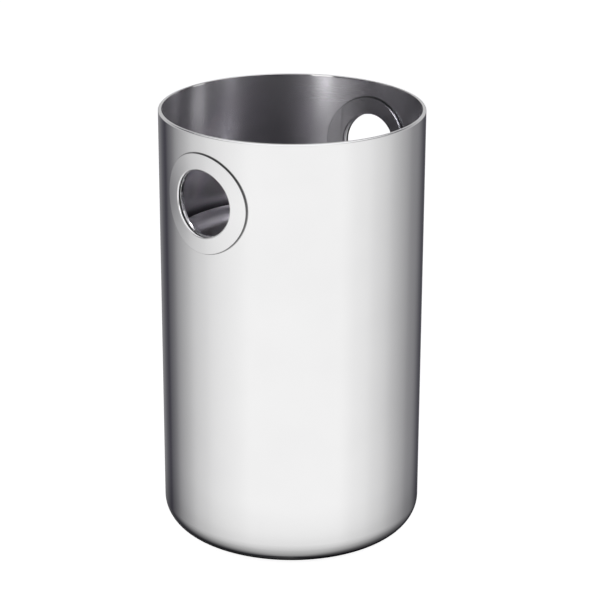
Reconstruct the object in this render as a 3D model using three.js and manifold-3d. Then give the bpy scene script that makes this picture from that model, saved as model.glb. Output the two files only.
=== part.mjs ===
// Champagne bucket stand: a tall round stand of polished stainless steel.
// A double wall, closed at the top by a rounded rim, carries a round-topped seat ring
// below the rim. Two grip holes face each other above the ring, each lined with a sleeve
// between an outer flange and an inner backing ring. Four rubber pads lift the closed
// base off the floor.
// Units are millimetres, +Z is up. The origin is on the floor, on the stand's own axis,
// and the two grip holes lie on the X axis.

import * as THREE from "three";
import { mergeVertices } from "three/addons/utils/BufferGeometryUtils.js";
import Module from "manifold-3d";

// Driving dimensions of the body.
const BODY_RADIUS = 120;
const BODY_HEIGHT = 400;
const BASE_CORNER_RADIUS = 23.2;
const SHELL_THICKNESS = 1.2;
const WALL_THICKNESS = 3.2;
const LINER_THICKNESS = 1.0;
const RIM_HEIGHT = 1.5;
const RIM_OUTER_EDGE = 1.4; // rounding of the lip towards the outside
const RIM_INNER_EDGE = 0.4; // rounding of the lip towards the well

// Driving dimensions of the seat ring that carries the bucket.
const SEAT_DEPTH = 120.8; // from the top of the rim down to the top of the ring
const SEAT_WIDTH = 24;
const SEAT_SKIRT = 10;
const SEAT_THICKNESS = 1.5;
const LINER_BELOW_SEAT = 8; // how far the liner runs on below the ring's skirt
const SEAT_QUARTERS = 4;

// Driving dimensions of the two grips.
const GRIP_DEPTH = 61.5; // from the top of the rim down to the hole's centre
const GRIP_HOLE_RADIUS = 30;
const SLEEVE_THICKNESS = 1.2;
const FLANGE_RADIUS = 45;
const FLANGE_HEIGHT = 2; // how far its face stands out from the body
const BACKING_RADIUS = 46;
const BACKING_HEIGHT = 2.5; // how far its face stands in from the liner
const RING_EDGE_RADIUS = 0.4; // rounding of the outer edge of both rings
const HOLE_EDGE_RADIUS = 1.5; // rounding where both rings turn into the hole

// Driving dimensions of the four pads under the base.
const PAD_COUNT = 4;
const PAD_RADIUS = 10;
const PAD_THICKNESS = 1.2;
const PAD_EDGE = 0.3;
const PAD_CIRCLE_RADIUS = 78;

// Pieces that touch keep this much air between them.
const GAP = 0.3;

// How finely round shapes are divided.
const BODY_SEGMENTS = 72;
const GRIP_SEGMENTS = 48;
const PAD_SEGMENTS = 24;
const CORNER_STEPS = 6;
const EDGE_STEPS = 3;
const HOLE_EDGE_STEPS = 5;
const SEAT_STEPS = 10;

// Places that follow from the driving dimensions.
const BASE_Z = PAD_THICKNESS + GAP;
const TOP_Z = BASE_Z + BODY_HEIGHT;
const WALL_TOP_Z = TOP_Z - RIM_HEIGHT - GAP;
const INNER_RADIUS = BODY_RADIUS - WALL_THICKNESS;
const SEAT_TOP_Z = TOP_Z - SEAT_DEPTH;
const SEAT_ARC_RADIUS = SEAT_WIDTH / 2;
const SEAT_ARC_Z = SEAT_TOP_Z - SEAT_ARC_RADIUS;
const SEAT_BOTTOM_Z = SEAT_ARC_Z - SEAT_SKIRT;
const SEAT_OUTER_RADIUS = INNER_RADIUS - GAP;
const GRIP_Z = TOP_Z - GRIP_DEPTH;
const SLEEVE_OUTER_RADIUS = GRIP_HOLE_RADIUS + SLEEVE_THICKNESS;
const WALL_HOLE_RADIUS = SLEEVE_OUTER_RADIUS + GAP;
const FLANGE_FACE = BODY_RADIUS + FLANGE_HEIGHT;
const BACKING_FACE = INNER_RADIUS - BACKING_HEIGHT;
const FACET_SAG = BODY_RADIUS * (1 - Math.cos(Math.PI / BODY_SEGMENTS));
const BACKING_BACK = INNER_RADIUS - GAP - FACET_SAG;
const CUTTER_LENGTH = 3 * BODY_RADIUS;

const wasm = await Module();
wasm.setup();

const polishedSteel = {
  color: 0xdfe1e4,
  roughness: 0.08,
  metalness: 1,
};
const satinSteel = {
  color: 0x9fa0a4,
  roughness: 0.34,
  metalness: 1,
};
const rubber = {
  color: 0x2a2a2c,
  roughness: 0.8,
  metalness: 0,
};

function point(x, y) {
  return new THREE.Vector2(x, y);
}

// Points along a circular arc, both ends included. Angles are in degrees.
function arc(centreX, centreY, radius, startAngle, endAngle, steps) {
  const points = [];
  for (let i = 0; i <= steps; i += 1) {
    const angle = THREE.MathUtils.degToRad(
      startAngle + ((endAngle - startAngle) * i) / steps,
    );
    points.push(
      point(
        centreX + radius * Math.cos(angle),
        centreY + radius * Math.sin(angle),
      ),
    );
  }
  return points;
}

function closed(profile) {
  return [...profile, profile[0].clone()];
}

// A profile of (distance from the axis, height) turned about Z.
function turned(profile, segments) {
  const geometry = new THREE.LatheGeometry(profile, segments);
  geometry.rotateX(Math.PI / 2);
  return geometry;
}

// A ring round the grip hole on the +X side, bent to follow the body. Its profile gives
// each corner's distance from the hole's axis and its distance from the body's axis.
function bentRing(profile) {
  const geometry = new THREE.LatheGeometry(closed(profile), GRIP_SEGMENTS);
  const position = geometry.getAttribute("position");
  for (let i = 0; i < position.count; i += 1) {
    const across = position.getX(i);
    const fromBodyAxis = position.getY(i);
    const up = position.getZ(i);
    const outward = Math.sqrt(fromBodyAxis ** 2 - across ** 2);
    position.setXYZ(i, outward, -across, up);
  }
  geometry.translate(0, 0, GRIP_Z);
  return geometry;
}

function toSolid(geometry) {
  const bare = geometry.clone();
  bare.deleteAttribute("normal");
  bare.deleteAttribute("uv");
  const merged = mergeVertices(bare, 1e-4);
  return new wasm.Manifold(
    new wasm.Mesh({
      numProp: 3,
      vertProperties: merged.getAttribute("position").array,
      triVerts: new Uint32Array(merged.index.array),
    }),
  );
}

function toGeometry(solid) {
  const mesh = solid.getMesh();
  const geometry = new THREE.BufferGeometry();
  geometry.setAttribute(
    "position",
    new THREE.BufferAttribute(new Float32Array(mesh.vertProperties), 3),
  );
  geometry.setIndex(
    new THREE.BufferAttribute(new Uint32Array(mesh.triVerts), 1),
  );
  geometry.computeVertexNormals();
  return geometry;
}

// Cuts both grip holes through a wall, along the X axis.
function withGripHoles(geometry) {
  const cutter = new THREE.CylinderGeometry(
    WALL_HOLE_RADIUS,
    WALL_HOLE_RADIUS,
    CUTTER_LENGTH,
    GRIP_SEGMENTS,
  );
  cutter.rotateZ(Math.PI / 2);
  cutter.translate(0, 0, GRIP_Z);
  return toGeometry(toSolid(geometry).subtract(toSolid(cutter)));
}

function outerShell() {
  const cornerCentre = BODY_RADIUS - BASE_CORNER_RADIUS;
  const cornerZ = BASE_Z + BASE_CORNER_RADIUS;
  const innerCorner = BASE_CORNER_RADIUS - SHELL_THICKNESS;
  const profile = [
    point(0, BASE_Z),
    ...arc(cornerCentre, cornerZ, BASE_CORNER_RADIUS, -90, 0, CORNER_STEPS),
    point(BODY_RADIUS, WALL_TOP_Z),
    point(BODY_RADIUS - SHELL_THICKNESS, WALL_TOP_Z),
    ...arc(cornerCentre, cornerZ, innerCorner, 0, -90, CORNER_STEPS),
    point(0, BASE_Z + SHELL_THICKNESS),
  ];
  return withGripHoles(turned(profile, BODY_SEGMENTS));
}

function innerLiner() {
  const bottomZ = SEAT_BOTTOM_Z - LINER_BELOW_SEAT;
  const profile = closed([
    point(INNER_RADIUS, bottomZ),
    point(INNER_RADIUS + LINER_THICKNESS, bottomZ),
    point(INNER_RADIUS + LINER_THICKNESS, WALL_TOP_Z),
    point(INNER_RADIUS, WALL_TOP_Z),
  ]);
  return withGripHoles(turned(profile, BODY_SEGMENTS));
}

function rimRing() {
  const outer = RIM_OUTER_EDGE;
  const inner = RIM_INNER_EDGE;
  const profile = closed([
    point(INNER_RADIUS, TOP_Z - RIM_HEIGHT),
    point(BODY_RADIUS, TOP_Z - RIM_HEIGHT),
    ...arc(BODY_RADIUS - outer, TOP_Z - outer, outer, 0, 90, EDGE_STEPS),
    ...arc(INNER_RADIUS + inner, TOP_Z - inner, inner, 90, 180, EDGE_STEPS),
  ]);
  return turned(profile, BODY_SEGMENTS);
}

// A channel open downwards, with a fully round top and a straight skirt on each side.
function seatRing() {
  const centre = SEAT_OUTER_RADIUS - SEAT_ARC_RADIUS;
  const insideRadius = SEAT_ARC_RADIUS - SEAT_THICKNESS;
  const profile = closed([
    point(centre + SEAT_ARC_RADIUS, SEAT_BOTTOM_Z),
    ...arc(centre, SEAT_ARC_Z, SEAT_ARC_RADIUS, 0, 180, SEAT_STEPS),
    point(centre - SEAT_ARC_RADIUS, SEAT_BOTTOM_Z),
    point(centre - insideRadius, SEAT_BOTTOM_Z),
    ...arc(centre, SEAT_ARC_Z, insideRadius, 180, 0, SEAT_STEPS),
    point(centre + insideRadius, SEAT_BOTTOM_Z),
  ]);
  return turned(profile, BODY_SEGMENTS);
}

// The quarter of the seat ring between the +X and +Y axes, half a gap short at each end.
function seatQuarter() {
  const cutter = new THREE.BoxGeometry(BODY_RADIUS, BODY_RADIUS, BODY_HEIGHT);
  const middle = (BODY_RADIUS + GAP) / 2;
  cutter.translate(middle, middle, SEAT_BOTTOM_Z);
  return toGeometry(toSolid(seatRing()).intersect(toSolid(cutter)));
}

// A plate ring with its back on one wall of the body. Its face has a crisp outer edge and
// turns softly into the hole.
function faceRing(outerRadius, back, face) {
  const outwards = Math.sign(face - back);
  const outer = outerRadius - RING_EDGE_RADIUS;
  const outerEdge = face - outwards * RING_EDGE_RADIUS;
  const hole = GRIP_HOLE_RADIUS + HOLE_EDGE_RADIUS;
  const holeEdge = face - outwards * HOLE_EDGE_RADIUS;
  const quarter = outwards * 90;
  const section = [
    point(GRIP_HOLE_RADIUS, back),
    point(outerRadius, back),
    ...arc(outer, outerEdge, RING_EDGE_RADIUS, 0, quarter, EDGE_STEPS),
    ...arc(hole, holeEdge, HOLE_EDGE_RADIUS, quarter, 2 * quarter, HOLE_EDGE_STEPS),
  ];
  return bentRing(outwards > 0 ? section : section.reverse());
}

function gripFlange() {
  return faceRing(FLANGE_RADIUS, BODY_RADIUS + GAP, FLANGE_FACE);
}

function gripBackingRing() {
  return faceRing(BACKING_RADIUS, BACKING_BACK, BACKING_FACE);
}

function gripSleeve() {
  return bentRing([
    point(GRIP_HOLE_RADIUS, INNER_RADIUS),
    point(SLEEVE_OUTER_RADIUS, INNER_RADIUS),
    point(SLEEVE_OUTER_RADIUS, BODY_RADIUS),
    point(GRIP_HOLE_RADIUS, BODY_RADIUS),
  ]);
}

function footPad() {
  const profile = [
    point(0, 0),
    point(PAD_RADIUS - PAD_EDGE, 0),
    point(PAD_RADIUS, PAD_EDGE),
    point(PAD_RADIUS, PAD_THICKNESS),
    point(0, PAD_THICKNESS),
  ];
  return turned(profile, PAD_SEGMENTS);
}

function piece(name, geometry, finish) {
  const mesh = new THREE.Mesh(
    geometry,
    new THREE.MeshStandardMaterial(finish),
  );
  mesh.name = name;
  return mesh;
}

function body() {
  const group = new THREE.Group();
  group.add(piece("outer_shell", outerShell(), polishedSteel));
  group.add(piece("inner_liner", innerLiner(), satinSteel));
  group.add(piece("rim_ring", rimRing(), polishedSteel));
  return group;
}

// The seat ring as four equal arcs, end to end round the well.
function seat() {
  const group = new THREE.Group();
  for (let i = 0; i < SEAT_QUARTERS; i += 1) {
    const quarter = piece(`seat_ring_${i + 1}`, seatQuarter(), satinSteel);
    quarter.rotation.z = (i * 2 * Math.PI) / SEAT_QUARTERS;
    group.add(quarter);
  }
  return group;
}

// The grip on the +X side: a flange outside, a sleeve through both walls and a backing
// ring inside.
function grip(side) {
  const group = new THREE.Group();
  group.add(piece(`grip_flange_${side}`, gripFlange(), polishedSteel));
  group.add(piece(`grip_sleeve_${side}`, gripSleeve(), polishedSteel));
  group.add(piece(`grip_backing_ring_${side}`, gripBackingRing(), satinSteel));
  return group;
}

function pads() {
  const group = new THREE.Group();
  for (let i = 0; i < PAD_COUNT; i += 1) {
    const angle = ((i + 0.5) * 2 * Math.PI) / PAD_COUNT;
    const pad = piece(`foot_pad_${i + 1}`, footPad(), rubber);
    pad.position.set(
      PAD_CIRCLE_RADIUS * Math.cos(angle),
      PAD_CIRCLE_RADIUS * Math.sin(angle),
      0,
    );
    group.add(pad);
  }
  return group;
}

const stand = new THREE.Group();
stand.name = "champagne_bucket_stand";
stand.add(body());
stand.add(seat());
stand.add(grip("right"));
const leftGrip = grip("left");
leftGrip.rotation.z = Math.PI;
stand.add(leftGrip);
stand.add(pads());

export default stand;
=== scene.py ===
"""Looks of the champagne bucket stand: fine meshes, steel and rubber materials, studio light.

Every length is in metres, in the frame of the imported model: +Z up, origin on the floor on the
stand's own axis, the two grips on the X axis.
"""

import math

import bpy
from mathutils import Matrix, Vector


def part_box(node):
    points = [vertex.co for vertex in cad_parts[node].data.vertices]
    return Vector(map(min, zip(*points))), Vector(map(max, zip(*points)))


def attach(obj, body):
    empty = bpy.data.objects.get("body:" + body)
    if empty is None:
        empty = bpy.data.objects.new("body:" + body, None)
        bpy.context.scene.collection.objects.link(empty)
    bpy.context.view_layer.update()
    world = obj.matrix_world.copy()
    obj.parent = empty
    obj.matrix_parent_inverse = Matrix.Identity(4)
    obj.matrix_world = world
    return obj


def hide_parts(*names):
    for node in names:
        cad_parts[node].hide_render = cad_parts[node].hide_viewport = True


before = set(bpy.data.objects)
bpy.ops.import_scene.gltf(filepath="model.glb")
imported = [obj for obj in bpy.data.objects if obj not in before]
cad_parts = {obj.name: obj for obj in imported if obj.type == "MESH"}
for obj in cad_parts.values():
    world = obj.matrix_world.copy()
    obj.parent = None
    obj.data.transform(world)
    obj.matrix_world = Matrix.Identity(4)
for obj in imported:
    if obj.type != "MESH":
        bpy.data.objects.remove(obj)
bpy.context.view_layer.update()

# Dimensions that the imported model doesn't state as a box.
BASE_CORNER = 0.0232  # rounding between the wall and the base
SHEET = 0.0012
LINER_SHEET = 0.0010
RIM_OUTER_EDGE = 0.0014  # rounding of the lip towards the outside
RIM_INNER_EDGE = 0.0004  # rounding of the lip towards the well
SEAT_WIDTH = 0.0240
SEAT_SHEET = 0.0015
SEAT_TRIM = 0.0002  # how much the joints between the quarters shorten a quarter's box
RING_EDGE = 0.0004  # rounding of a grip ring's outer edge
HOLE_EDGE = 0.0015  # rounding of a grip ring's face into its hole
HOLE_UNDERCUT = 0.0010  # how much wider a flange's hole is behind that rounding
SLEEVE_GAP = 0.0014  # joint line between a flange and its sleeve
SLEEVE_LIP = 0.0005  # rounding of the sleeve's outer lip
GRIP_HOLE = 0.0300
PAD_EDGE = 0.0003

# Width of the darkened line on a wall round each ring: painted shade where the ring meets the
# wall.
RING_SHADE_LINE = 0.0008

# How far inside a flange's edge the outermost supporting rings of a wall lie.
WALL_RING_INSET = 0.002

# How finely round shapes are divided.
BODY_SEGMENTS = 320
GRIP_SEGMENTS = 160
PAD_SEGMENTS = 48
PAD_EDGE_STEPS = 4
EDGE_STEPS = 6
HOLE_STEPS = 12
CORNER_STEPS = 28
SEAT_STEPS = 40
SUPPORT = 0.00012  # distance of a supporting line from the edge it keeps crisp
BASE_LINE = 0.02  # radius of a supporting ring in the flat of the base
SHARP_ANGLE = math.radians(40)

# Heights of a wall's rings, as shares of the reach of a grip flange from the grip's middle.
WALL_STEPS = (-1.0, -0.88, -0.8, -0.4, 0.0, 0.4, 0.8, 0.88, 1.0)

# Places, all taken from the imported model.
shell_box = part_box("outer_shell")
rim_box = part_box("rim_ring")
liner_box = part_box("inner_liner")
seat_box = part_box("seat_ring_1")
flange_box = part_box("grip_flange_right")
sleeve_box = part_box("grip_sleeve_right")
backing_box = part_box("grip_backing_ring_right")

BODY_RADIUS = shell_box[1].x
BASE_Z = shell_box[0].z
RIM_Z = rim_box[0].z
TOP_Z = rim_box[1].z
LINER_RADIUS = liner_box[1].x
INNER_RADIUS = LINER_RADIUS - LINER_SHEET
GRIP_Z = (flange_box[0].z + flange_box[1].z) / 2
FLANGE_RADIUS = (flange_box[1].z - flange_box[0].z) / 2
FLANGE_FACE = flange_box[1].x
SLEEVE_RADIUS = (sleeve_box[1].z - sleeve_box[0].z) / 2
BACKING_RADIUS = (backing_box[1].z - backing_box[0].z) / 2
BACKING_FACE = math.hypot(backing_box[0].x, BACKING_RADIUS - RING_EDGE)


# --- Shapes -------------------------------------------------------------------------------


def arc(cx, cy, radius, start, end, steps):
    """Points of a circular arc, angles in degrees, both ends included."""
    points = []
    for i in range(steps + 1):
        angle = math.radians(start + (end - start) * i / steps)
        points.append((cx + radius * math.cos(angle), cy + radius * math.sin(angle)))
    return points


def supported(profile):
    """The closed profile with a point added near both ends of each long straight side."""
    points = []
    for i, a in enumerate(profile):
        points.append(a)
        b = profile[(i + 1) % len(profile)]
        length = math.dist(a, b)
        if length < 8 * SUPPORT:
            continue
        for share in (SUPPORT / length, 1 - SUPPORT / length):
            points.append(tuple(p + (q - p) * share for p, q in zip(a, b)))
    return points


def make_object(name, vertices, faces):
    """A smooth-shaded object in the scene, with edges past SHARP_ANGLE kept sharp."""
    mesh = bpy.data.meshes.new(name)
    mesh.from_pydata(vertices, [], faces)
    mesh.validate()
    mesh.update()
    mesh.shade_smooth()
    mesh.set_sharp_from_angle(angle=SHARP_ANGLE)
    piece = bpy.data.objects.new(name, mesh)
    bpy.context.scene.collection.objects.link(piece)
    return piece


def ring_faces(rings, count, closed):
    """Quads between neighbouring rings of vertices; the last ring joins the first."""
    faces = []
    last = rings if closed else rings - 1
    for i in range(last):
        a = i * count
        b = ((i + 1) % rings) * count
        for j in range(count):
            k = (j + 1) % count
            faces.append((a + j, a + k, b + k, b + j))
    return faces


def turned_vertices(profile, segments):
    """The corners of a profile of (distance from the axis, height), turned about Z."""
    vertices = []
    for radius, height in profile:
        for j in range(segments):
            angle = 2 * math.pi * j / segments
            vertices.append((radius * math.cos(angle), radius * math.sin(angle), height))
    return vertices


def turned(name, profile, segments):
    """A closed profile, turned about Z."""
    vertices = turned_vertices(profile, segments)
    return make_object(name, vertices, ring_faces(len(profile), segments, True))


def turned_dish(name, profile, segments):
    """An open profile that starts and ends on the axis, turned about Z."""
    inner = profile[1:-1]
    vertices = turned_vertices(inner, segments)
    faces = ring_faces(len(inner), segments, False)
    first = len(vertices)
    vertices.append((0.0, 0.0, profile[0][1]))
    vertices.append((0.0, 0.0, profile[-1][1]))
    last_ring = (len(inner) - 1) * segments
    for j in range(segments):
        k = (j + 1) % segments
        faces.append((first, k, j))
        faces.append((first + 1, last_ring + j, last_ring + k))
    return make_object(name, vertices, faces)


def bent_ring(name, profile, side):
    """A ring round a grip hole, bent to follow the body. The profile gives each corner's
    distance from the hole's axis and its distance from the body's axis."""
    vertices = []
    for radius, from_axis in profile:
        for j in range(GRIP_SEGMENTS):
            angle = 2 * math.pi * j / GRIP_SEGMENTS
            across = radius * math.cos(angle)
            up = radius * math.sin(angle)
            outward = math.sqrt(from_axis**2 - across**2)
            vertices.append((side * outward, side * across, GRIP_Z + up))
    return make_object(name, vertices, ring_faces(len(profile), GRIP_SEGMENTS, True))


def turn_faces_out(piece):
    """Points every face of a closed mesh outwards."""
    bpy.context.view_layer.objects.active = piece
    piece.select_set(True)
    bpy.ops.object.mode_set(mode="EDIT")
    bpy.ops.mesh.select_all(action="SELECT")
    bpy.ops.mesh.normals_make_consistent(inside=False)
    bpy.ops.object.mode_set(mode="OBJECT")
    piece.select_set(False)


def cut_grip_holes(piece, radius):
    """Cuts both grip holes through a wall, along X."""
    bpy.ops.mesh.primitive_cylinder_add(
        vertices=GRIP_SEGMENTS,
        radius=radius,
        depth=3 * BODY_RADIUS,
        location=(0, 0, GRIP_Z),
        rotation=(0, math.pi / 2, 0),
    )
    cutter = bpy.context.object
    modifier = piece.modifiers.new("grip_holes", "BOOLEAN")
    modifier.operation = "DIFFERENCE"
    modifier.solver = "EXACT"
    modifier.object = cutter
    bpy.context.view_layer.objects.active = piece
    bpy.ops.object.modifier_apply(modifier=modifier.name)
    bpy.data.objects.remove(cutter)
    piece.data.shade_smooth()
    piece.data.set_sharp_from_angle(angle=SHARP_ANGLE)


def wall_rings(radius, low, high):
    """Profile points up a wall, close together beside the grips, that keep its shading
    true."""
    reach = FLANGE_RADIUS - WALL_RING_INSET
    heights = [low + SUPPORT]
    for step in WALL_STEPS:
        heights.append(GRIP_Z + step * reach)
    heights.append(high - SUPPORT)
    return [(radius, z) for z in heights]


def outer_shell():
    """The outer wall with its closed, rounded base, cut for both grips."""
    centre = BODY_RADIUS - BASE_CORNER
    corner_z = BASE_Z + BASE_CORNER
    inner_corner = BASE_CORNER - SHEET
    outside = wall_rings(BODY_RADIUS, corner_z, RIM_Z)
    inside = wall_rings(BODY_RADIUS - SHEET, corner_z, RIM_Z)
    profile = [(0.0, BASE_Z), (BASE_LINE, BASE_Z), (centre - SUPPORT, BASE_Z)]
    profile += arc(centre, corner_z, BASE_CORNER, -90, 0, CORNER_STEPS)
    profile += outside + [(BODY_RADIUS, RIM_Z), (BODY_RADIUS - SHEET, RIM_Z)]
    profile += reversed(inside)
    profile += arc(centre, corner_z, inner_corner, 0, -90, CORNER_STEPS)
    floor_z = BASE_Z + SHEET
    profile += [(centre - SUPPORT, floor_z), (BASE_LINE, floor_z), (0.0, floor_z)]
    piece = turned_dish("fine_outer_shell", profile, BODY_SEGMENTS)
    turn_faces_out(piece)
    cut_grip_holes(piece, SLEEVE_RADIUS)
    return piece


def inner_liner():
    """The wall of the well, cut for both grips."""
    low = liner_box[0].z
    inside = wall_rings(INNER_RADIUS, low, RIM_Z)
    outside = wall_rings(LINER_RADIUS, low, RIM_Z)
    profile = [(INNER_RADIUS, low), (LINER_RADIUS, low)] + outside
    profile += [(LINER_RADIUS, RIM_Z), (INNER_RADIUS, RIM_Z)] + inside[::-1]
    piece = turned("fine_inner_liner", profile, BODY_SEGMENTS)
    turn_faces_out(piece)
    cut_grip_holes(piece, SLEEVE_RADIUS)
    return piece


def rim_ring():
    """The ring that closes the double wall at the top."""
    outer = RIM_OUTER_EDGE
    inner = RIM_INNER_EDGE
    profile = [(INNER_RADIUS, RIM_Z), (BODY_RADIUS, RIM_Z)]
    profile += arc(BODY_RADIUS - outer, TOP_Z - outer, outer, 0, 90, 2 * EDGE_STEPS)
    profile += arc(INNER_RADIUS + inner, TOP_Z - inner, inner, 90, 180, EDGE_STEPS)
    piece = turned("fine_rim_ring", supported(profile), BODY_SEGMENTS)
    turn_faces_out(piece)
    return piece


def seat_ring():
    """The round-topped channel that carries the bucket, in one piece."""
    outer = seat_box[1].x + SEAT_TRIM
    radius = SEAT_WIDTH / 2
    centre = outer - radius
    arc_z = seat_box[1].z - radius
    low = seat_box[0].z
    inside = radius - SEAT_SHEET
    profile = [(outer, low)]
    profile += arc(centre, arc_z, radius, 0, 180, SEAT_STEPS)
    profile += [(centre - radius, low), (centre - inside, low)]
    profile += arc(centre, arc_z, inside, 180, 0, SEAT_STEPS)
    profile += [(centre + inside, low)]
    piece = turned("fine_seat_ring", supported(profile), BODY_SEGMENTS)
    turn_faces_out(piece)
    return piece


def face_ring(name, side, outer_radius, back, face, undercut=0.0):
    """A plate ring round a grip hole, its back on one wall. Its face has a crisp outer edge
    and turns softly into the hole. Behind that turn the hole is wider by the undercut."""
    out = 1 if face > back else -1
    outer = outer_radius - RING_EDGE
    hole = GRIP_HOLE + HOLE_EDGE
    quarter = out * 90
    profile = [(GRIP_HOLE + undercut, back), (outer_radius, back)]
    profile += arc(outer, face - out * RING_EDGE, RING_EDGE, 0, quarter, EDGE_STEPS)
    profile += arc(hole, face - out * HOLE_EDGE, HOLE_EDGE, quarter, 2 * quarter, HOLE_STEPS)
    if undercut:
        profile.append((GRIP_HOLE + undercut, face - out * HOLE_EDGE))
    piece = bent_ring(name, supported(profile), side)
    turn_faces_out(piece)
    return piece


def grip_sleeve(name, side):
    """The tube through both walls. Its round outer lip stands a little behind the flange,
    which leaves a joint line between the two, dark from the gap and from painted shade on the
    sleeve's end."""
    end = BODY_RADIUS - SLEEVE_GAP
    lip = SLEEVE_LIP
    profile = [(GRIP_HOLE, INNER_RADIUS), (SLEEVE_RADIUS, INNER_RADIUS), (SLEEVE_RADIUS, end)]
    profile += arc(GRIP_HOLE + lip, end - lip, lip, 90, 180, EDGE_STEPS)
    piece = bent_ring(name, supported(profile), side)
    turn_faces_out(piece)
    return piece


def foot_pad(name, box):
    """A round pad as wide and high as its box."""
    radius = (box[1].x - box[0].x) / 2
    place = ((box[0].x + box[1].x) / 2, (box[0].y + box[1].y) / 2, box[0].z)
    height = box[1].z - box[0].z
    profile = [(0.0, 0.0), (radius / 2, 0.0)]
    profile += arc(radius - PAD_EDGE, PAD_EDGE, PAD_EDGE, -90, 0, PAD_EDGE_STEPS)
    profile += [(radius, height), (radius / 2, height), (0.0, height)]
    piece = turned_dish(name, profile, PAD_SEGMENTS)
    for vertex in piece.data.vertices:
        vertex.co += Vector(place)
    turn_faces_out(piece)
    return piece


# --- Materials ----------------------------------------------------------------------------


class Nodes:
    """A small helper that adds and joins the nodes of one tree."""

    def __init__(self, tree):
        self.tree = tree

    def add(self, kind, settings=None):
        node = self.tree.nodes.new(kind)
        for key, value in (settings or {}).items():
            setattr(node, key, value)
        return node

    def feed(self, node, key, value):
        """Links a socket, or sets a value, to the input of that name or number."""
        socket = node.inputs[int(key)] if key.isdigit() else node.inputs[key]
        if isinstance(value, bpy.types.NodeSocket):
            self.tree.links.new(value, socket)
        else:
            socket.default_value = value

    def math(self, operation, a, b=0.0):
        node = self.add("ShaderNodeMath", {"operation": operation})
        self.feed(node, "0", a)
        self.feed(node, "1", b)
        return node.outputs[0]

    def hypotenuse(self, a, b):
        squares = [self.math("MULTIPLY", side, side) for side in (a, b)]
        return self.math("SQRT", self.math("ADD", *squares))

    def bump(self, shader, height, strength, distance):
        node = self.add("ShaderNodeBump")
        self.feed(node, "Height", height)
        self.feed(node, "Strength", strength)
        self.feed(node, "Distance", distance)
        self.feed(shader, "Normal", node.outputs[0])

    def ramp(self, value, low, high):
        """Maps 0..1 to low..high."""
        node = self.add("ShaderNodeMapRange")
        self.feed(node, "Value", value)
        self.feed(node, "To Min", low)
        self.feed(node, "To Max", high)
        return node.outputs[0]

    def noise(self, vector, scale, detail, roughness):
        node = self.add("ShaderNodeTexNoise")
        self.feed(node, "Vector", vector)
        self.feed(node, "Scale", scale)
        self.feed(node, "Detail", detail)
        self.feed(node, "Roughness", roughness)
        return node.outputs["Fac"]

    def mix_colour(self, share, a, b):
        node = self.add("ShaderNodeMix", {"data_type": "RGBA"})
        self.feed(node, "0", share)
        self.feed(node, "6", a)
        self.feed(node, "7", b)
        return node.outputs[2]

    def levels(self, value, stops):
        """Maps a value in 0..1 to grey levels, smoothly through the given stops."""
        node = self.add("ShaderNodeValToRGB")
        self.feed(node, "Fac", value)
        node.color_ramp.interpolation = "CARDINAL"
        elements = node.color_ramp.elements
        elements.remove(elements[1])
        for i, (position, level) in enumerate(stops):
            element = elements[0] if i == 0 else elements.new(position)
            element.position = position
            element.color = (level, level, level, 1)
        return node.outputs[0]


def new_material(name):
    material = bpy.data.materials.new(name)
    material.use_nodes = True
    tree = material.node_tree
    tree.nodes.clear()
    nodes = Nodes(tree)
    shader = nodes.add("ShaderNodeBsdfPrincipled")
    output = nodes.add("ShaderNodeOutputMaterial")
    tree.links.new(shader.outputs[0], output.inputs[0])
    return material, nodes, shader


def brushed_coordinates(nodes, along, across):
    """Coordinates that run slowly along the brush lines, which go round the stand, and fast
    across them; with the plain place and its y and z."""
    place = nodes.add("ShaderNodeTexCoord").outputs["Object"]
    parts = nodes.add("ShaderNodeSeparateXYZ")
    nodes.feed(parts, "0", place)
    x, y, z = parts.outputs[:3]
    fast = nodes.math("MULTIPLY", nodes.math("ADD", z, nodes.hypotenuse(x, y)), across)
    vector = nodes.add("ShaderNodeCombineXYZ")
    nodes.feed(vector, "0", nodes.math("MULTIPLY", x, along))
    nodes.feed(vector, "1", nodes.math("MULTIPLY", y, along))
    nodes.feed(vector, "2", fast)
    return vector.outputs[0], place, y, z


def between(nodes, y, z, start, end):
    """1 between two distances from a grip hole's axis, 0 elsewhere."""
    distance = nodes.hypotenuse(y, nodes.math("SUBTRACT", z, GRIP_Z))
    past_start = nodes.math("GREATER_THAN", distance, start)
    return nodes.math("MULTIPLY", past_start, nodes.math("LESS_THAN", distance, end))


# Changes per metre: of the lines along and across themselves, and of the soft patterns.
POLISH_ALONG = 9.0
POLISH_ACROSS = 2600.0
BRUSH_ALONG = 3.5
BRUSH_ACROSS = 2200.0
HAZE_SCALE = 16.0
CLOUD_SCALE = 22.0
GRAIN_SCALE = 1800.0
SCUFF_SCALE = 160.0

# Strength and depth of each relief.
POLISH_RELIEF = (0.012, 0.0002)
BRUSH_RELIEF = (0.011, 0.0003)
GRAIN_RELIEF = (0.25, 0.0002)

POLISH_TINTS = ((0.85, 0.848, 0.850, 1), (0.91, 0.908, 0.909, 1))
POLISH_ROUGHNESS = (0.055, 0.085)
POLISH_LINE_ROUGHNESS = 0.03
TURNED_ROUGHNESS = 0.30  # added where the steel is darkened round the grip rings, in the bands of painted shade

SATIN_TINTS = ((0.50, 0.49, 0.515), (0.55, 0.54, 0.565))
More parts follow.
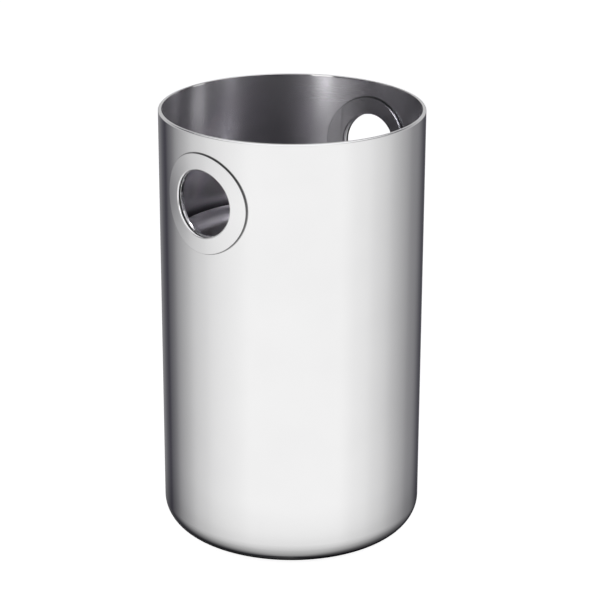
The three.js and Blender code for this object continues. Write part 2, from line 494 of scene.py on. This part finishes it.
# Tints of painted shade: in the satin steel's hollows, and in bands round the grip rings.
SATIN_CREVICE_SHADE_TINT = (0.27, 0.262, 0.28, 1)
SATIN_RING_SHADE_TINT = (0.08, 0.08, 0.085, 1)
SATIN_LINE_ROUGHNESS = 0.043
SATIN_CLOUD_ROUGHNESS = (-0.01, 0.015)
CREVICE_SHADE_REACH = 0.014
CREVICE_SHADE_CLOSED = 0.40  # share of open air at which the painted shade in hollows has its full tint
CREVICE_SHADE_OPEN = 0.78
BRUSH_ANISOTROPY = 0.75
BRUSH_ROTATION = 0.25  # a quarter turn, along the brush lines

RUBBER_TINTS = ((0.018, 0.018, 0.020, 1), (0.045, 0.045, 0.048, 1))
RUBBER_ROUGHNESS = (0.65, 0.85)


def polished_steel(name, shaded_from=0.0, shaded_to=0.0, shade_grey=0.20):
    """Mirror-polished steel with faint polishing lines, haze and soft wear. Between the two
    given distances from a grip hole's axis it is rougher and darkened to the given grey:
    painted shade."""
    material, nodes, shader = new_material(name)
    lines_at, place, y, z = brushed_coordinates(nodes, POLISH_ALONG, POLISH_ACROSS)
    lines = nodes.noise(lines_at, 1.0, 5.0, 0.65)
    haze = nodes.noise(place, HAZE_SCALE, 3.0, 0.5)
    tint = nodes.mix_colour(haze, *POLISH_TINTS)
    rough = nodes.math(
        "ADD",
        nodes.ramp(haze, *POLISH_ROUGHNESS),
        nodes.ramp(lines, 0.0, POLISH_LINE_ROUGHNESS),
    )
    # Painted shade: darker grey, and rougher, between the given distances from a grip hole's
    # axis.
    if shaded_to:
        shaded_band = between(nodes, y, z, shaded_from, shaded_to)
        tint = nodes.mix_colour(shaded_band, tint, (shade_grey, shade_grey, shade_grey, 1))
        rough = nodes.math("ADD", rough, nodes.math("MULTIPLY", shaded_band, TURNED_ROUGHNESS))
    nodes.feed(shader, "Base Color", tint)
    nodes.feed(shader, "Metallic", 1.0)
    nodes.feed(shader, "Roughness", rough)
    nodes.bump(shader, lines, *POLISH_RELIEF)
    return material


def satin_steel(name, smoothest=0.24, shade=1.0, shaded_from=0.0, shaded_to=0.0):
    """Satin steel with fine brush lines that go round the stand. Its colour is darkened in its
    hollows and between the two given distances from a grip hole's axis, both painted shade,
    and its tints are scaled by shade, a lighter or darker copy: painted light or shade. Its
    roughness starts at smoothest."""
    material, nodes, shader = new_material(name)
    lines_at, place, y, z = brushed_coordinates(nodes, BRUSH_ALONG, BRUSH_ACROSS)
    lines = nodes.noise(lines_at, 1.0, 6.0, 0.7)
    cloud = nodes.noise(place, CLOUD_SCALE, 3.0, 0.55)
    # shade scales the tints into a lighter or darker copy of one steel: painted light or shade.
    low, high = ([part * shade for part in colour] + [1] for colour in SATIN_TINTS)
    tint = nodes.mix_colour(lines, low, high)
    # Painted shade: where ambient occlusion finds hollows and tight corners, the tint darkens.
    open_air = nodes.add("ShaderNodeAmbientOcclusion")
    nodes.feed(open_air, "Distance", CREVICE_SHADE_REACH)
    crevice_shade = nodes.add("ShaderNodeMapRange")
    nodes.feed(crevice_shade, "Value", open_air.outputs["AO"])
    nodes.feed(crevice_shade, "From Min", CREVICE_SHADE_CLOSED)
    nodes.feed(crevice_shade, "From Max", CREVICE_SHADE_OPEN)
    tint = nodes.mix_colour(crevice_shade.outputs[0], SATIN_CREVICE_SHADE_TINT, tint)
    # Painted shade: near black between the given distances from a grip hole's axis.
    if shaded_to:
        shaded_band = between(nodes, y, z, shaded_from, shaded_to)
        tint = nodes.mix_colour(shaded_band, tint, SATIN_RING_SHADE_TINT)
    nodes.feed(shader, "Base Color", tint)
    nodes.feed(shader, "Metallic", 1.0)
    rough = nodes.math(
        "ADD",
        nodes.ramp(lines, smoothest, smoothest + SATIN_LINE_ROUGHNESS),
        nodes.ramp(cloud, *SATIN_CLOUD_ROUGHNESS),
    )
    nodes.feed(shader, "Roughness", rough)
    nodes.feed(shader, "Anisotropic", BRUSH_ANISOTROPY)
    nodes.feed(shader, "Anisotropic Rotation", BRUSH_ROTATION)
    tangent = nodes.add("ShaderNodeTangent", {"direction_type": "RADIAL", "axis": "Z"})
    nodes.feed(shader, "Tangent", tangent.outputs[0])
    nodes.bump(shader, lines, *BRUSH_RELIEF)
    return material


def pad_rubber():
    """Dark moulded rubber with a fine grain."""
    material, nodes, shader = new_material("pad_rubber")
    place = nodes.add("ShaderNodeTexCoord").outputs["Object"]
    grain = nodes.noise(place, GRAIN_SCALE, 3.0, 0.6)
    scuff = nodes.noise(place, SCUFF_SCALE, 4.0, 0.6)
    tint = nodes.mix_colour(scuff, *RUBBER_TINTS)
    nodes.feed(shader, "Base Color", tint)
    nodes.feed(shader, "Roughness", nodes.ramp(scuff, *RUBBER_ROUGHNESS))
    nodes.bump(shader, grain, *GRAIN_RELIEF)
    return material


# --- Stage --------------------------------------------------------------------------------

VIEW_AZIMUTH = math.radians(-49.7)
VIEW_ELEVATION = math.radians(20.50)
VIEW_ROLL = math.radians(0.196)
VIEW_DISTANCE = 2.018
TARGET_HEIGHT = 0.2157
TARGET_ASIDE = 0.0076
LENS_MM = 131.1
SENSOR_MM = 36
FAR_CLIP = 100

WHITE = (1, 1, 1, 1)
FLOOR_HALF = 30.0
FLOOR_TINT = (0.85, 0.85, 0.85, 1)
FLOOR_ROUGHNESS = 0.9
FLOOR_GLOW = 0.9

VIEW_RIGHT = Vector((math.cos(VIEW_AZIMUTH), math.sin(VIEW_AZIMUTH), 0))
VIEW_FRONT = Vector((math.sin(VIEW_AZIMUTH), -math.cos(VIEW_AZIMUTH), 0))


def camera():
    """The camera at the photo's angle, rolled by the photo's slight lean."""
    target = VIEW_RIGHT * TARGET_ASIDE + Vector((0, 0, BASE_Z + TARGET_HEIGHT))
    towards = VIEW_FRONT * math.cos(VIEW_ELEVATION)
    towards += Vector((0, 0, math.sin(VIEW_ELEVATION)))
    data = bpy.data.cameras.new("camera")
    data.lens = LENS_MM
    data.sensor_width = SENSOR_MM
    data.clip_end = FAR_CLIP
    thing = bpy.data.objects.new("camera", data)
    thing.location = target + towards * VIEW_DISTANCE
    thing.rotation_euler = towards.to_track_quat("Z", "Y").to_euler()
    thing.rotation_euler.rotate_axis("Z", VIEW_ROLL)
    bpy.context.scene.collection.objects.link(thing)
    bpy.context.scene.camera = thing


def floor():
    """A plain pale floor that glows a little, so that it shows white."""
    half = FLOOR_HALF
    corners = [(-half, -half, 0), (half, -half, 0), (half, half, 0), (-half, half, 0)]
    piece = make_object("floor", corners, [(0, 1, 2, 3)])
    material, nodes, shader = new_material("floor")
    nodes.feed(shader, "Base Color", FLOOR_TINT)
    nodes.feed(shader, "Roughness", FLOOR_ROUGHNESS)
    nodes.feed(shader, "Emission Color", WHITE)
    nodes.feed(shader, "Emission Strength", FLOOR_GLOW)
    piece.data.materials.append(material)
    piece.visible_glossy = False


SHADOW_SEGMENTS = 96

# How much light the floor returns at each distance from the stand's axis, in metres.
CONTACT = (
    (0.000, 0.00),
    (0.106, 0.01),
    (0.111, 0.14),
    (0.122, 0.38),
    (0.138, 0.65),
    (0.180, 0.88),
    (0.230, 0.98),
    (0.290, 1.00),
)


def contact_shadow():
    """The stand's soft shadow on the floor, as the polished base mirrors it."""
    reach = CONTACT[-1][0]
    count = SHADOW_SEGMENTS
    corners = [(0.0, 0.0, 0.0)]
    for j in range(count):
        angle = 2 * math.pi * j / count
        corners.append((reach * math.cos(angle), reach * math.sin(angle), 0.0))
    faces = [(0, j + 1, (j + 1) % count + 1) for j in range(count)]
    piece = make_object("contact_shadow", corners, faces)
    material, nodes, shader = new_material("contact_shadow")
    place = nodes.add("ShaderNodeTexCoord").outputs["Object"]
    length = nodes.add("ShaderNodeVectorMath", {"operation": "LENGTH"})
    nodes.feed(length, "0", place)
    share = nodes.math("DIVIDE", length.outputs["Value"], reach)
    returned = nodes.levels(share, [(r / reach, light) for r, light in CONTACT])
    veil = nodes.add("ShaderNodeBsdfTransparent")
    nodes.feed(veil, "Color", returned)
    output = material.node_tree.nodes["Material Output"]
    material.node_tree.links.new(veil.outputs[0], output.inputs[0])
    material.node_tree.nodes.remove(shader)
    piece.data.materials.append(material)
    piece.visible_camera = False
    piece.visible_diffuse = False
    piece.visible_shadow = False
    piece.visible_transmission = False


# Light from below the horizon: angle from the view's front to its right, brightness.
SURROUND = (
    (-180, 0.30),
    (-158, 0.19),
    (-144, 0.07),
    (-136, 0.09),
    (-120, 0.28),
    (-98, 0.575),
    (-76, 0.79),
    (-41, 0.98),
    (0, 1.065),
    (30, 1.055),
    (53, 0.94),
    (73, 0.82),
    (95, 0.61),
    (121, 0.335),
    (141, 0.20),
    (162, 0.07),
    (180, 0.30),
)

# Colour that the darkest parts of the surroundings still return.
SHADE_TINT = (0.005, 0.003, 0.017, 1)

# Light from above the horizon: sine of the elevation, brightness.
CANOPY = ((0.0, 0.52), (0.38, 0.52), (0.58, 0.12), (1.0, 0.09))

# Sines of the elevations between which the lower light gives way to the canopy.
HORIZON_LOW = -0.28
HORIZON_HIGH = 0.08


def surround():
    """A studio whose floor is bright in front and dark behind, under an even canopy."""
    world = bpy.data.worlds.new("studio")
    bpy.context.scene.world = world
    world.use_nodes = True
    tree = world.node_tree
    tree.nodes.clear()
    nodes = Nodes(tree)
    way = nodes.add("ShaderNodeTexCoord").outputs["Generated"]
    parts = nodes.add("ShaderNodeSeparateXYZ")
    nodes.feed(parts, "0", way)
    height = parts.outputs[2]

    def along(direction):
        node = nodes.add("ShaderNodeVectorMath", {"operation": "DOT_PRODUCT"})
        nodes.feed(node, "0", way)
        node.inputs[1].default_value = direction
        return node.outputs["Value"]

    angle = nodes.math("ARCTAN2", along(VIEW_RIGHT), along(VIEW_FRONT))
    turn = nodes.math("ADD", nodes.math("DIVIDE", angle, 2 * math.pi), 0.5)
    below = nodes.levels(turn, [(a / 360 + 0.5, light) for a, light in SURROUND])
    above = nodes.levels(height, CANOPY)
    rise = nodes.add("ShaderNodeMapRange", {"interpolation_type": "SMOOTHSTEP"})
    nodes.feed(rise, "Value", height)
    nodes.feed(rise, "From Min", HORIZON_LOW)
    nodes.feed(rise, "From Max", HORIZON_HIGH)
    light = nodes.mix_colour(rise.outputs[0], below, above)
    tint = nodes.mix_colour(light, SHADE_TINT, WHITE)
    tint.node.clamp_factor = False
    seen = nodes.add("ShaderNodeBackground")
    nodes.feed(seen, "Color", WHITE)
    nodes.feed(seen, "Strength", 1.0)
    lit = nodes.add("ShaderNodeBackground")
    nodes.feed(lit, "Color", tint)
    path = nodes.add("ShaderNodeLightPath")
    mix = nodes.add("ShaderNodeMixShader")
    nodes.feed(mix, "0", path.outputs["Is Camera Ray"])
    tree.links.new(lit.outputs[0], mix.inputs[1])
    tree.links.new(seen.outputs[0], mix.inputs[2])
    output = nodes.add("ShaderNodeOutputWorld")
    tree.links.new(mix.outputs[0], output.inputs[0])


LAMP_DISTANCE = 2.2


def softbox(name, turn, rise, width, height, power):
    """An area light aimed at the well's mouth from turn degrees to the right of the view's
    front and rise degrees above the level."""
    data = bpy.data.lights.new(name, "AREA")
    data.shape = "RECTANGLE"
    data.size = width
    data.size_y = height
    data.energy = power
    lamp = bpy.data.objects.new(name, data)
    a = math.radians(turn)
    e = math.radians(rise)
    level = VIEW_FRONT * math.cos(a) + VIEW_RIGHT * math.sin(a)
    towards = level * math.cos(e) + Vector((0, 0, math.sin(e)))
    lamp.location = towards * LAMP_DISTANCE + Vector((0, 0, TOP_Z))
    lamp.rotation_euler = towards.to_track_quat("Z", "Y").to_euler()
    lamp.visible_camera = False
    bpy.context.scene.collection.objects.link(lamp)
    return lamp


def light_only(lamps, pieces):
    """Lets the lamps light nothing but the given pieces."""
    group = bpy.data.collections.new(f"lit_{pieces[0].name}")
    for piece in pieces:
        group.objects.link(piece)
    for lamp in lamps:
        lamp.light_linking.receiver_collection = group


# --- Assembly -----------------------------------------------------------------------------

# Where the darkened, rougher edges begin on the outer sides of the grip rings; the dark colour
# is painted shade.
FLANGE_SIDE = FLANGE_RADIUS - RING_EDGE / 2
BACKING_SIDE = BACKING_RADIUS - RING_EDGE / 2


def finish(piece, nodes, material):
    """Gives a piece its material and puts it in the place of the CAD nodes."""
    piece.data.materials.clear()
    piece.data.materials.append(material)
    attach(piece, "root")
    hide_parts(*nodes)
    return piece


camera()
floor()
contact_shadow()
surround()

rim_steel = polished_steel("rim_steel")
# Painted shade: the shell is darker grey in a thin line round each flange, where the flange
# meets the body.
shell_steel = polished_steel("shell_steel", shaded_to=FLANGE_RADIUS + RING_SHADE_LINE, shade_grey=0.40)
# Painted shade: each flange's outer edge and side are dark grey.
flange_steel = polished_steel("flange_steel", shaded_from=FLANGE_SIDE, shaded_to=BODY_RADIUS)
# Painted shade: each sleeve is near black past the start of its lip, on its end and outside, in
# the joint behind the flange.
sleeve_steel = polished_steel(
    "sleeve_steel", shaded_from=GRIP_HOLE + 0.8 * SLEEVE_LIP, shaded_to=BODY_RADIUS, shade_grey=0.02
)
# Painted shade: the liner is near black in a thin line round each backing ring.
liner_satin = satin_steel("liner_satin", shaded_to=BACKING_RADIUS + RING_SHADE_LINE)
# Painted light: the seat ring is a lighter copy of the satin steel.
seat_satin = satin_steel("seat_satin", smoothest=0.30, shade=1.42)
# Painted shade: the backing rings are a darker copy of the satin steel, near black on their
# outer edges.
backing_satin = satin_steel(
    "backing_satin", shade=0.78, shaded_from=BACKING_SIDE, shaded_to=BODY_RADIUS
)
rubber = pad_rubber()

finish(outer_shell(), ["outer_shell"], shell_steel)
rim = finish(rim_ring(), ["rim_ring"], rim_steel)
quarters = [f"seat_ring_{number}" for number in range(1, 5)]
liner = finish(inner_liner(), ["inner_liner"], liner_satin)
finish(seat_ring(), quarters, seat_satin)
flanges = []
sleeves = []
backings = []
for label, side in (("left", -1), ("right", 1)):
    node = f"grip_flange_{label}"
    piece = face_ring(
        f"fine_{node}", side, FLANGE_RADIUS, BODY_RADIUS, FLANGE_FACE, HOLE_UNDERCUT
    )
    flanges.append(finish(piece, [node], flange_steel))
    node = f"grip_sleeve_{label}"
    piece = grip_sleeve(f"fine_{node}", side)
    sleeves.append(finish(piece, [node], sleeve_steel))
    node = f"grip_backing_ring_{label}"
    piece = face_ring(f"fine_{node}", side, BACKING_RADIUS, INNER_RADIUS, BACKING_FACE)
    backings.append(finish(piece, [node], backing_satin))
for number in range(1, 5):
    node = f"foot_pad_{number}"
    finish(foot_pad(f"fine_{node}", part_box(node)), [node], rubber)

# Each lamp's turn and rise in degrees, width and height in metres, and power in watts.
well_lamps = [
    softbox("high_left", -50, 45, 0.34, 0.9, 108),
    softbox("low_left", -31, 8, 0.34, 0.46, 6.0),
    softbox("high_right", 132, 56, 0.20, 0.9, 50),
    softbox("low_right", 58, 8, 0.5, 0.46, 1.6),
]
light_only(well_lamps, [liner] + backings)
light_only([softbox("overhead", 0, 70, 5.0, 8.0, 115)], [rim] + flanges)
light_only([softbox("through_well", 112, 36, 2.8, 1.8, 7.5)], sleeves)

bpy.context.scene.view_settings.view_transform = "Standard"
